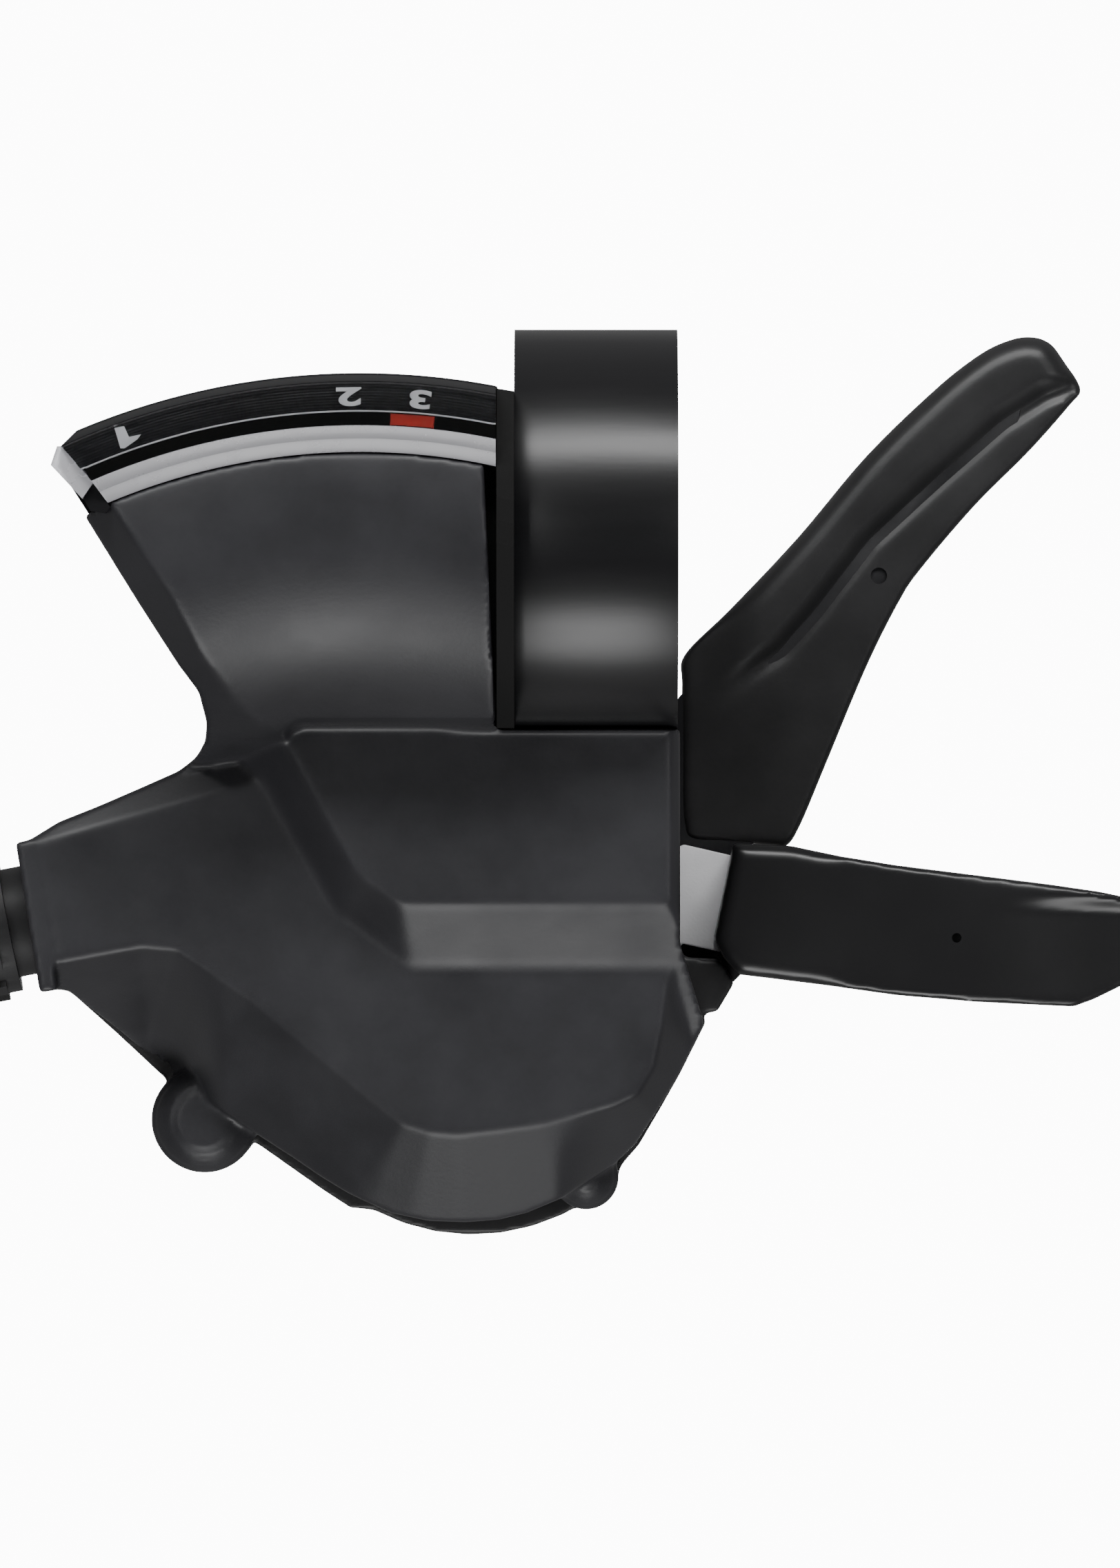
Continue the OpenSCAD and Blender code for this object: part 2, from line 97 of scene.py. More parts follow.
def surface(name, colour, rough, grain=2500, bump=0.15, depth=0.00002, metal=0.0, vary=0.12,
            rough_vary=0.06, stretch=(1, 1, 1), coat=0.0, specular=0.5):
    """A solid finish: fine grain as bump, with slow changes of tone and of roughness."""
    mat, nodes, links, bsdf = new_material(name)
    coord = nodes.new("ShaderNodeTexCoord")
    mapping = nodes.new("ShaderNodeMapping")
    mapping.inputs["Scale"].default_value = stretch
    links.new(coord.outputs["Object"], mapping.inputs["Vector"])
    where = mapping.outputs["Vector"]
    slow = noise(nodes, links, where, grain / 25, 4)
    fine = noise(nodes, links, where, grain, 2)
    dark = tuple(c * (1 - vary) for c in colour)
    light = tuple(c * (1 + vary) for c in colour)
    links.new(two_tone(nodes, links, slow, dark, light), bsdf.inputs["Base Color"])
    links.new(spread(nodes, links, slow, rough - rough_vary, rough + rough_vary), bsdf.inputs["Roughness"])
    node = nodes.new("ShaderNodeBump")
    node.inputs["Strength"].default_value = bump
    node.inputs["Distance"].default_value = depth
    links.new(fine, node.inputs["Height"])
    links.new(node.outputs["Normal"], bsdf.inputs["Normal"])
    bsdf.inputs["Metallic"].default_value = metal
    bsdf.inputs["Specular IOR Level"].default_value = specular
    bsdf.inputs["Coat Weight"].default_value = coat
    return mat


def clear_lens():
    """Clear plastic of the window."""
    mat, nodes, links, bsdf = new_material("lens")
    coord = nodes.new("ShaderNodeTexCoord")
    haze = noise(nodes, links, coord.outputs["Object"], 400)
    links.new(spread(nodes, links, haze, 0.03, 0.09), bsdf.inputs["Roughness"])
    bsdf.inputs["Base Color"].default_value = (0.93, 0.94, 0.96, 1)
    bsdf.inputs["Transmission Weight"].default_value = 1.0
    bsdf.inputs["IOR"].default_value = 1.49
    return mat


def pale_reflection_lens():
    """Pale, half clear plastic of the window's bevelled rim; the pale colour is a painted reflection of the
    light on the bevel.
    """
    mat, nodes, links, bsdf = new_material("lens_edge")
    coord = nodes.new("ShaderNodeTexCoord")
    haze = noise(nodes, links, coord.outputs["Object"], 600)
    links.new(spread(nodes, links, haze, 0.22, 0.3), bsdf.inputs["Roughness"])
    bsdf.inputs["Base Color"].default_value = (0.6, 0.6, 0.63, 1)
    bsdf.inputs["Transmission Weight"].default_value = 0.3
    bsdf.inputs["IOR"].default_value = 1.49
    return mat


MATERIAL = {
    "cover_plastic": surface("cover_plastic", (0.0265, 0.0265, 0.03), 0.44, 3200, 0.35, specular=0.4),
    "base_plastic": surface("base_plastic", (0.016, 0.016, 0.017), 0.5, 2600, 0.35),
    "pad_plastic": surface("pad_plastic", (0.018, 0.018, 0.019), 0.42, 2600, 0.3),
    "gloss_black": surface("gloss_black", (0.012, 0.012, 0.013), 0.36, 900, 0.05),
    "band_alloy": surface("band_alloy", (0.006, 0.006, 0.007), 0.34, 3000, 0.12, stretch=(0.15, 1, 1)),
    "steel": surface("steel", (0.5, 0.5, 0.51), 0.3, 1500, 0.1, metal=1.0),
    "silver_plate": surface("silver_plate", (0.97, 0.97, 0.99), 0.45, 5000, 0.6, vary=0.03),
    "dark_steel": surface("dark_steel", (0.02, 0.02, 0.022), 0.35, 2500, 0.2, metal=0.3),
    "spring_steel": surface("spring_steel", (0.55, 0.55, 0.56), 0.25, 1500, 0.05, metal=1.0),
    "brass": surface("brass", (0.62, 0.44, 0.18), 0.3, 1500, 0.08, metal=1.0),
    "lens": clear_lens(),
    "scale_print": surface("scale_print", (0.005, 0.005, 0.006), 0.5, 900, 0.05, specular=0.2),
    # near black, darker than the other plastics: painted shade for the parts seen in the gap between the fan
    # and the band
    "dark_inside": surface("dark_inside", (0.006, 0.006, 0.006), 0.75, 1800, 0.3, specular=0.2),
    "red_plastic": surface("red_plastic", (0.62, 0.035, 0.02), 0.35, 1500, 0.05),
    "arm_plastic": surface("arm_plastic", (0.014, 0.014, 0.015), 0.5, 1500, 0.1),
    "rubber_black": surface("rubber_black", (0.014, 0.014, 0.014), 0.7, 1800, 0.4),
    # the rim's pale colour is a painted reflection of the light on the window's bevel
    "lens_edge": pale_reflection_lens(),
    "figures": surface("figures", (0.75, 0.75, 0.75), 0.5, 1500, 0.05),
}
for node_name, slot_name in SLOT_OF.items():
    mesh = NODES[node_name].data
    mesh.materials.clear()
    mesh.materials.append(MATERIAL[slot_name])


# ---------------------------------------------------------------- helpers
def place(obj, node, material=None, replace=True):
    """obj stands for a CAD node and rides on that node's body."""
    obj.data.materials.clear()
    obj.data.materials.append(MATERIAL[material or SLOT_OF[node]])
    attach(obj, BODY_OF[node])
    if replace:
        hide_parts(node)
    return obj


def apply_modifiers(obj):
    """Makes the modifiers' result the object's own mesh."""
    bpy.context.view_layer.update()
    graph = bpy.context.evaluated_depsgraph_get()
    mesh = bpy.data.meshes.new_from_object(obj.evaluated_get(graph))
    obj.modifiers.clear()
    obj.data = mesh
    return obj


def link(name, mesh):
    """A new object in the scene for a mesh, light, camera or text."""
    obj = bpy.data.objects.new(name, mesh)
    bpy.context.scene.collection.objects.link(obj)
    return obj


def soften(obj, voxel, passes, factor=0.5):
    """Fuses overlapping solids into one moulding and rounds its edges."""
    remesh = obj.modifiers.new("fuse", "REMESH")
    remesh.mode = "VOXEL"
    remesh.voxel_size = voxel
    smooth = obj.modifiers.new("round", "SMOOTH")
    smooth.factor = factor
    smooth.iterations = passes
    apply_modifiers(obj)
    for p in obj.data.polygons:
        p.use_smooth = True
    return obj


def moulded(node, voxel=0.25 * MM, passes=6):
    """The node's own shape with moulded, rounded edges."""
    obj = link(node + "_moulded", NODES[node].data.copy())
    soften(obj, voxel, passes)
    return place(obj, node)


def arc(centre, radius, start, end, steps=16):
    """Points on an arc in plan, in millimetres, angles in degrees."""
    angles = np.radians(np.linspace(start, end, steps + 1))
    return [(centre[0] + radius * math.cos(a), centre[1] + radius * math.sin(a)) for a in angles]


def curve_through(points, steps=6):
    """A closed smooth curve through the points (Catmull-Rom)."""
    out, n = [], len(points)
    for i in range(n):
        p0, p1, p2, p3 = (np.array(points[(i + k) % n], float) for k in (-1, 0, 1, 2))
        for k in range(steps):
            t = k / steps
            out.append(tuple(0.5 * (2 * p1 + (p2 - p0) * t + (2 * p0 - 5 * p1 + 4 * p2 - p3) * t * t
                                    + (3 * p1 - p0 - 3 * p2 + p3) * t ** 3)))
    return out


def prism(name, outline, low, high):
    """A straight-sided solid on an outline in plan, in millimetres."""
    bm = bmesh.new()
    verts = [bm.verts.new((x * MM, y * MM, low * MM)) for x, y in outline]
    face = bm.faces.new(verts)
    made = bmesh.ops.extrude_face_region(bm, geom=[face])
    for v in made["geom"]:
        if isinstance(v, bmesh.types.BMVert):
            v.co.z = high * MM
    bmesh.ops.recalc_face_normals(bm, faces=bm.faces)
    mesh = bpy.data.meshes.new(name)
    bm.to_mesh(mesh)
    bm.free()
    return link(name, mesh)


def field_block(name, xs, ys, top, bottom):
    """A solid between two height fields over a rectangle, in millimetres."""
    gx, gy = np.meshgrid(xs, ys, indexing="ij")
    heights = [np.broadcast_to(f(gx, gy), gx.shape) for f in (top, bottom)]
    nx, ny = gx.shape
    verts = np.concatenate([np.stack([gx, gy, z], -1).reshape(-1, 3) for z in heights]) * MM
    index = np.arange(nx * ny).reshape(nx, ny)
    a, b, c, d = index[:-1, :-1], index[1:, :-1], index[1:, 1:], index[:-1, 1:]
    up = np.stack([a, b, c, d], -1).reshape(-1, 4)
    down = np.stack([d, c, b, a], -1).reshape(-1, 4) + nx * ny
    rim = np.concatenate([index[:, 0], index[-1, 1:], index[-2::-1, -1], index[0, -2:0:-1]])
    nxt = np.roll(rim, -1)
    sides = np.stack([rim, rim + nx * ny, nxt + nx * ny, nxt], -1)
    mesh = bpy.data.meshes.new(name)
    mesh.from_pydata(verts.tolist(), [], np.concatenate([up, down, sides]).tolist())
    return link(name, mesh)


def rod(name, start, end, radius, sides=64):
    """A cylinder between two points, in millimetres."""
    way = (Vector(end) - Vector(start)) * MM
    bm = bmesh.new()
    bmesh.ops.create_cone(bm, cap_ends=True, segments=sides, radius1=radius * MM, radius2=radius * MM,
                          depth=way.length)
    turn = way.to_track_quat("Z", "Y").to_matrix().to_4x4()
    bm.transform(Matrix.Translation((Vector(start) + Vector(end)) / 2 * MM) @ turn)
    mesh = bpy.data.meshes.new(name)
    bm.to_mesh(mesh)
    bm.free()
    return link(name, mesh)


def combine(obj, other, operation):
    """Boolean of two closed solids; the second is used up."""
    mod = obj.modifiers.new("cut", "BOOLEAN")
    mod.operation = operation
    mod.solver = "MANIFOLD"
    mod.object = other
    apply_modifiers(obj)
    bpy.data.objects.remove(other)
    return obj


def join(obj, *others):
    """Adds the others' meshes to obj; soften() then fuses them."""
    bm = bmesh.new()
    for o in (obj, *others):
        bm.from_mesh(o.data)
    bm.to_mesh(obj.data)
    bm.free()
    for o in others:
        bpy.data.objects.remove(o)
    return obj


def revolved(name, profile, centre, start, end, steps):
    """A closed profile (radius, height) turned about a vertical axis, with flat ends; millimetres."""
    angles = np.radians(np.linspace(start, end, steps + 1))
    n = len(profile)
    verts = [((centre[0] + r * math.cos(a)) * MM, (centre[1] + r * math.sin(a)) * MM, z * MM)
             for a in angles for r, z in profile]
    faces = [(i * n + k, i * n + (k + 1) % n, (i + 1) * n + (k + 1) % n, (i + 1) * n + k)
             for i in range(steps) for k in range(n)]
    faces += [tuple(range(n - 1, -1, -1)), tuple(steps * n + k for k in range(n))]
    bm = bmesh.new()
    made = [bm.verts.new(v) for v in verts]
    for f in faces:
        bm.faces.new([made[i] for i in f])
    bmesh.ops.recalc_face_normals(bm, faces=bm.faces)
    mesh = bpy.data.meshes.new(name)
    bm.to_mesh(mesh)
    bm.free()
    return link(name, mesh)


# ---------------------------------------------------------------- height fields
def to_line(points, x, y):
    """Distance to an open line of points, positive on its left."""
    best, sign = np.full(x.shape, 1e9), np.ones(x.shape)
    for (ax, ay), (bx, by) in zip(points[:-1], points[1:]):
        dx, dy = bx - ax, by - ay
        t = np.clip(((x - ax) * dx + (y - ay) * dy) / (dx * dx + dy * dy), 0, 1)
        dist = np.hypot(x - ax - t * dx, y - ay - t * dy)
        side = np.sign(dx * (y - ay) - dy * (x - ax))
        nearer = dist < best
        best, sign = np.where(nearer, dist, best), np.where(nearer, side, sign)
    return best * np.where(sign == 0, 1, sign)


def inside_by(outline, x, y):
    """Distance to a closed outline, positive inside."""
    dist = np.abs(to_line(list(outline) + [outline[0]], x, y))
    inside = np.zeros(x.shape, bool)
    for (ax, ay), (bx, by) in zip(outline, list(outline[1:]) + [outline[0]]):
        crosses = (ay > y) != (by > y)
        inside ^= crosses & (x < (bx - ax) * (y - ay) / (by - ay + 1e-12) + ax)
    return np.where(inside, dist, -dist)


def smooth_max(a, b, k):
    """The larger of two fields, blended where they differ by less than k."""
    h = np.clip(0.5 + 0.5 * (a - b) / k, 0, 1)
    return b + (a - b) * h + k * h * (1 - h)


def smooth_min(a, b, k):
    """The smaller of two fields, blended in the same way."""
    return -smooth_max(-a, -b, k)


def smooth_step(t):
    """Rises softly from 0 to 1 as t does."""
    t = np.clip(t, 0, 1)
    return t * t * (3 - 2 * t)


def rounded_edge(depth, radius):
    """How far a face drops near its rim, for a rounded rim of that radius."""
    e = np.clip(depth, 0, radius)
    return radius - np.sqrt(np.maximum(radius ** 2 - (radius - e) ** 2, 0))


# ---------------------------------------------------------------- top cover
# All in millimetres, as in the part's source
GRID = 0.3                      # spacing of the height fields
VOXEL = 0.24 * MM               # cell of the remesh that rounds the mouldings
SADDLE_CENTRE = 42.9            # radius about the display pivot of the saddle's own centre
SADDLE_R = 17                   # outer radius of the saddle round the handlebar
SADDLE_INNER = 15.4             # its inner radius
BAR_ROOM = 13.2                 # radius kept clear round the handlebar
FAN_RIM = 46.35                 # radius about the display pivot where the fan ends
FAN_WALL = 1.3                  # thickness of the fan's left wall, along x
FACE_Z, PLATFORM_Z, SPLIT_Z, WALL = -0.5, 3.0, -13.0, 1.5
SCREWS = [(-28.6, -43, 3.9), (-0.7, -47.2, 2.4)]    # x, y and radius of the two screw bosses
BOSS_STEPS = ((-10.8, 0), (-10.2, 0.35), (-9.7, 0.8), (-9.35, 1.3), (-9.1, 1.9))    # height, inset
BODY_OUTLINE = [(6.1, -14.45), (6.1, -30), (7.9, -35.9), (6.0, -39.7), (4.6, -42), (2.9, -44.7),
                (1.4, -46.2), (-2.4, -48.6), (-5, -49.7), (-7, -50.2), (-9.4, -50.4), (-12.2, -50.3),
                (-15, -49.7), (-18, -48.3), (-20, -47.1), (-22.2, -45.6), (-24.4, -44.2),
                (-31.9, -39.1), (-35, -36.3), (-38.4, -33.5),
                (-40.2, -33.3), (-41.9, -23), (-39, -21.2), (-36, -20), (-33, -18.7), (-30.3, -17.5),
                (-29, -16.5), (-28.3, -15.4)]
FAN_LEFT = [(-28.1, -14), (-28.6, -11.8), (-30, -9.9), (-33, -5.2), (-36.2, 0), (-39, 4.3)]
FACE_OUTLINE = [(6.1, -12), (6.1, -30), (5.2, -33), (4.8, -36), (4.2, -39), (3, -41), (1.3, -41.8),
                (-3.8, -43.1), (-6.6, -43.5), (-10, -43.9), (-12, -43.75), (-14, -43.1), (-16, -41.5),
                (-20, -38.2), (-25, -34), (-28, -32), (-30.5, -30.5), (-33, -30.3), (-39, -31.4),
                (-43, -31.8), (-43, -23.7), (-40.8, -22.9), (-24.6, -18.3), (-22.4, -12)]
COLLAR = [(-42.1, -22.7), (-40.75, -22.45), (-39.1, -33.4), (-40.35, -33.6)]
FAN_EDGE = [(-38.5, 7), (-34.5, 1.3), (-33, -1), (-30.5, -4.8), (-28.2, -9.3), (-26, -12.2), (-24.3, -13.9),
            (-22.8, -14.6), (-21.5, -13.9), (7, -13.7)]
CABLE_WAY = Vector((math.cos(math.radians(11)), math.sin(math.radians(11)), 0))
CABLE_AT = Vector((-40.5, -28.2, -11.5))    # where the cable's axis leaves the housing
# Left, right, back, front and top of the boxes that the display arm sweeps through
ARM_WINDOWS = ((-27.4, -9, -13, -19, -3.8), (-23.1, -9, -13, -17, 1.0), (-25.8, -24.4, -12.5, -15, 4.3),
               (-24.5, -23, -12.5, -15, 2.9), (-20, -9, -12.5, -16, 1.75))
ARM_LOW = -5.6


def saddle_height(radius, x, y):
    """Top of the tube that wraps round the handlebar, curved about the display pivot."""
    r = np.hypot(x - PIVOT_MM[0], y - PIVOT_MM[1]) - SADDLE_CENTRE
    top = np.sqrt(np.maximum(radius ** 2 - r ** 2, 0))
    return np.where(np.abs(r) < radius, top, -3 * (np.abs(r) - radius))


def body_height(x, y):
    """Lower face with its bevelled rim, and the raised platform with its slopes."""
    out = np.maximum(-inside_by(FACE_OUTLINE, x, y), 0)
    # The bevel's slope: steeper on the right and at the front left, gentler towards the back
    right_side = smooth_step((x + 3) / 5)
    front_left = 0.8 * smooth_step((-27 - x) / 4) * smooth_step((-27 - y) / 3)
    back = 0.2 * smooth_step((y + 24) / 3)
    bevel = 0.86 + right_side + front_left - back
    seam = (x - CABLE_AT.x) * CABLE_WAY.x + (y - CABLE_AT.y) * CABLE_WAY.y - 0.5
    face = FACE_Z - out * bevel - 0.45 * np.exp(-(seam / 0.28) ** 2)
    # The platform falls at its own slope past each of its four edges
    left_edge = -((x + 17.8) * 0.871 + (y + 24) * 0.491)
    front_edge = -(y + 27.1)
    corner_edge = -((x + 15) * 0.6 + (y + 26.5) * 0.8)
    right_edge = x - 5.4
    plat = np.full(x.shape, PLATFORM_Z)
    for slope, past in ((1.32, left_edge), (0.745, front_edge), (1.05, corner_edge), (1.6, right_edge)):
        plat = smooth_min(plat, PLATFORM_Z - slope * past, 0.35)
    return smooth_max(face, plat, 0.5)


def cover_height(x, y):
    """The whole top cover: body and saddle, run together in a small fillet."""
    past = -to_line(FAN_EDGE, x, y)
    # The saddle ends in a wall over the platform and in a slope to the left of it
    steep = np.where(x > -22.5, 8.0, 1.35)
    fan = saddle_height(SADDLE_R, x, y) - steep * np.maximum(past, 0)
    # and there is none of it in front of the band
    fan = np.where((x > -7.2) & (y < -14.4), -20, fan)
    return smooth_max(body_height(x, y), fan, 0.7)


def inset(outline, by):
    """The outline moved inwards, corner by corner."""
    pts = [np.array(p, float) for p in outline]
    by = by if signed_area(outline) < 0 else -by
    out = []
    for before, here, after in zip(pts[-1:] + pts[:-1], pts, pts[1:] + pts[:1]):
        a, b = here - before, after - here
        na, nb = (np.array((v[1], -v[0])) / np.linalg.norm(v) for v in (a, b))
        mid = (na + nb) / max(1.0 + float(na @ nb), 0.4)
        out.append(tuple(here + mid * by))
    return out


def signed_area(outline):
    """Area of an outline, negative where it runs clockwise."""
    return 0.5 * sum(ax * by - bx * ay for (ax, ay), (bx, by) in zip(outline, outline[1:] + outline[:1]))


def build_top_cover():
    """The shell: height field cut to the outline, hollowed, bossed, rounded and bored."""
    xs, ys = np.arange(-43.5, 9.5, GRID), np.arange(-53, 10, GRID)
    rim = arc(PIVOT_MM, FAN_RIM, 115.3, 79.0, 30)
    outline = BODY_OUTLINE + FAN_LEFT[:-1] + [*rim, (-7.2, -14.45)]
    cover = field_block("top_cover_shell", xs, ys, cover_height, lambda x, y: np.full(x.shape, SPLIT_Z))
    combine(cover, prism("outline", outline, -14, 25), "INTERSECT")
    hollow = field_block("hollow", xs, ys, lambda x, y: body_height(x, y) - WALL,
                         lambda x, y: np.full(x.shape, -20.0))
    combine(hollow, prism("inner", inset(BODY_OUTLINE, WALL), -25, 25), "INTERSECT")
    combine(cover, hollow, "DIFFERENCE")
    under = field_block("under", xs, np.arange(-14.0, 12, GRID),
                        lambda x, y: np.minimum(saddle_height(SADDLE_INNER, x, y), cover_height(x, y) - 1.2),
                        lambda x, y: np.full(x.shape, -20.0))
    below = field_block("below", xs, np.arange(-13.8, 14, GRID),
                        lambda x, y: saddle_height(BAR_ROOM, x, y), lambda x, y: np.full(x.shape, -40.0))
    combine(cover, below, "DIFFERENCE")
    left_wall = [(x + FAN_WALL, y) for x, y in FAN_LEFT]
    combine(under, prism("open", left_wall + [(-39, 12), (5, 12), (5, -13.9), (-26.8, -13.9)], -30, 30),
            "INTERSECT")
    combine(cover, under, "DIFFERENCE")
    combine(cover, prism("band_window", [(-6.1, -13), (5.9, -13), (5.9, -19), (-6.1, -19)], -14, 1.4),
            "DIFFERENCE")
    for left, right, back, front, high in ARM_WINDOWS:
        window = [(left, back), (right, back), (right, front), (left, front)]
        combine(cover, prism("arm_window", window, ARM_LOW, high), "DIFFERENCE")
    combine(cover, rod("pivot_pocket", (*PIVOT_MM, -8), (*PIVOT_MM, -3.9), 2.95), "DIFFERENCE")
    boss = rod("boss", CABLE_AT, CABLE_AT + CABLE_WAY * 9, 5.4)
    bosses = [rod("screw_boss", (x, y, SPLIT_Z), (x, y, top), r - less) for x, y, r in SCREWS
              for top, less in BOSS_STEPS]
    collar = prism("collar", COLLAR, SPLIT_Z, FACE_Z)
    join(cover, boss, collar, *bosses)
    soften(cover, VOXEL, 5)
    combine(cover, rod("bore", CABLE_AT - CABLE_WAY, CABLE_AT + CABLE_WAY * 11, 2.15), "DIFFERENCE")
    combine(cover, rod("recess", CABLE_AT - CABLE_WAY, CABLE_AT + CABLE_WAY * 3, 4.3), "DIFFERENCE")
    smooth_by_angle(cover)
    place(cover, "top_cover")


def smooth_by_angle(obj, degrees=40):
    """Smooth shading, with edges sharper than the angle left as edges."""
    for p in obj.data.polygons:
        p.use_smooth = True
    obj.data.set_sharp_from_angle(angle=math.radians(degrees))


build_top_cover()


# ---------------------------------------------------------------- levers
PAD_OUTLINE = curve_through(
    [(6.6, -8.9), (10, -5.5), (15, -0.2), (20, 5.75), (25, 10.6), (28, 13), (30, 14.1), (31.9, 14.55),
     (33.5, 14.1), (34.6, 12.7), (35.8, 10.7), (35, 9.5), (32, 6.1), (28, 2.1), (24, -2.6), (22.4, -5),
     (20, -9.8), (17, -17), (15.2, -21.3), (14.2, -22.95), (13.2, -23.0), (9.5, -22.7), (7, -22.5),
     (6.45, -21), (6.4, -16), (6.4, -11)], 5)
GROOVE = [(4, -14), (9.5, -11.2), (13.5, -8.3), (16, -5.5), (20, -0.3), (25, 4.3), (29.8, 8.5),
          (33, 10.5), (37, 12)]
PAD_HOLE = (20.9, -3.1)
SHANK_TOP, SHANK_LOW = -19.85, -22.4    # faces of the shank, from which the grip swells
TRIGGER_TOP, TRIGGER_LOW = -9.6, -18.7
DIMPLE = (26.4, -29.7)


def build_main_pad():
    """Thumb pad: a flat shank that rises, past a groove, into a rounded grip."""
    def rise(x, y):
        return smooth_step(to_line(GROOVE, x, y) / 1.6 + 0.3) * smooth_step((x - 7.5) / 5)

    def top(x, y):
        depth = inside_by(PAD_OUTLINE, x, y)
        on_pad = rise(x, y)
        groove = 0.45 * np.exp(-((to_line(GROOVE, x, y) + 0.5) / 0.55) ** 2) * smooth_step((x - 9) / 6)
        return SHANK_TOP + 0.7 * on_pad - groove - rounded_edge(depth, 0.5) * (1 - on_pad) \
            - rounded_edge(depth, 1.9) * on_pad

    def bottom(x, y):
        depth = inside_by(PAD_OUTLINE, x, y)
        on_pad = rise(x, y)
        return SHANK_LOW - 4.4 * on_pad + rounded_edge(depth, 0.5) * (1 - on_pad) \
            + rounded_edge(depth, 2.2) * on_pad

    pad = field_block("main_lever_grip", np.arange(5, 38, GRID), np.arange(-25, 16, GRID), top, bottom)
    combine(pad, prism("outline", PAD_OUTLINE, -30, -10), "INTERSECT")
    soften(pad, VOXEL, 4)
    combine(pad, rod("hole", (*PAD_HOLE, -21.2), (*PAD_HOLE, -18), 0.6), "DIFFERENCE")
    smooth_by_angle(pad)
    place(pad, "main_lever_pad")


TRIGGER_OUTLINE = ([(10.1, -22.8), (14.4, -23), (18, -23.75), (22, -24.4), (28, -25.15), (33.2, -25.8),
                    (37, -26.35)] + arc((37.6, -29.9), 3.4, 68, -70, 10)
                   + [(36.5, -34.2), (35, -34.75), (28, -34.4), (22, -33.9), (17, -33.2), (13, -32.7),
                      (10.5, -32.4), (9.4, -31.2), (8.7, -29.8)])


def build_trigger_pad():
    """Release pad: a glossy bar with a faint crease and a recess towards its tip."""
    def top(x, y):
        depth = inside_by(TRIGGER_OUTLINE, x, y)
        crease = 0.12 * smooth_step((x - 15.8) / 3.4)
        recess = 1.1 * smooth_step((x - 27) / 12) * smooth_step((-26.4 - y) / 1.6)
        fall = 0.012 * np.maximum(x - 17, 0)
        return TRIGGER_TOP - crease - fall - recess - rounded_edge(depth, 0.4) \
            - (rounded_edge(depth, 1.0) - rounded_edge(depth, 0.4)) * smooth_step((19 - x) / 3)

    def bottom(x, y):
        return TRIGGER_LOW + rounded_edge(inside_by(TRIGGER_OUTLINE, x, y), 0.9)

    pad = field_block("release_lever_grip", np.arange(8, 42, GRID), np.arange(-36, -22, GRID), top, bottom)
    combine(pad, prism("outline", TRIGGER_OUTLINE, -25, -5), "INTERSECT")
    soften(pad, VOXEL, 3)
    combine(pad, rod("dimple", (*DIMPLE, -10.6), (*DIMPLE, -8), 0.35, 24), "DIFFERENCE")
    smooth_by_angle(pad)
    place(pad, "release_lever_pad")


def build_base():
    """The base cover, with the thin web between its lug and the release lever."""
    moulded("base_cover")
    outline = [(5.9, -27.6), (8.8, -27.6), (10.9, -32.3), (10.2, -33), (7, -33.4), (5.9, -31)]
    place(prism("base_web", outline, -19.5, -18.95), "base_cover", replace=False)


build_main_pad()
build_trigger_pad()
build_base()
moulded("cable_plug", 0.2 * MM, 2)


# ---------------------------------------------------------------- display
FAN_PRISM = [(-7.2, -14.5), (-7.2, 12), (-30, 14), (-38.3, 5.7), (-36.0, 3.1), (-34.75, 1.4), (-33, -5.2)]
# Two facets at the window's left end: the first painted pale as a painted highlight, the second painted
# black as painted shade
HIGHLIGHT_FACET = [(-39, 4.35), (-38.55, 5.7), (-38.25, 5.7), (-35.95, 3.1), (-36.75, 1.95)]
SHADE_FACET = [(-36.7, 1.95), (-35.95, 3.05), (-34.75, 1.35), (-35.1, 0.9), (-36.2, 1.1)]
# Profiles about the display pivot: radius and height
WINDOW = [(48.3, 17.5), (48.3, 17.8), (48.5, 17.86), (51.3, 17.33), (51.4, 17.2), (51.35, 17.1),
          (49.4, 17.45)]
WINDOW_RIM = [(46.4, 15.7), (46.4, 16.6), (46.5, 16.75), (47.35, 17.2), (47.4, 17.28), (48.2, 17.8),
              (48.28, 17.8), (48.28, 15.7)]
POINTER = [(48.45, 14.0), (49.2, 14.0), (49.2, 17.1), (48.45, 17.1)]
POINTER_FROM, POINTER_TO = 83.75, 87.45         # degrees about the pivot, at rest
SCALE_IN, SCALE_OUT = 49.4, 52.05               # radii of the printed scale
SCALE_TILT = 0.22                               # how much it falls outwards
AT_BAND = -5.895                                # the end wall closes against the band here
FIGURES = (("2", (-17.7, 9.3)), ("3", (-12.6, 9.1)))
FIGURE_1 = [(-34.44, 6.99), (-33.75, 7.12), (-33.4, 6.35), (-32.54, 6.54), (-32.8, 6.18), (-33.71, 5.54),
            (-34.01, 5.54)]


def from_pivot(x, y):
    """Distance in plan from the display pivot, in millimetres."""
    return math.hypot(x - PIVOT_MM[0], y - PIVOT_MM[1])


def display_piece(name, node, profile, material=None, sharp=30):
    """A ring about the display pivot, cut to the fan; without a material of its own it is the node."""
    obj = revolved(name, profile, PIVOT_MM, 118, 76, 160)
    combine(obj, prism("clip", FAN_PRISM, 5, 25), "INTERSECT")
    smooth_by_angle(obj, sharp)
    return place(obj, node, material, replace=material is None)


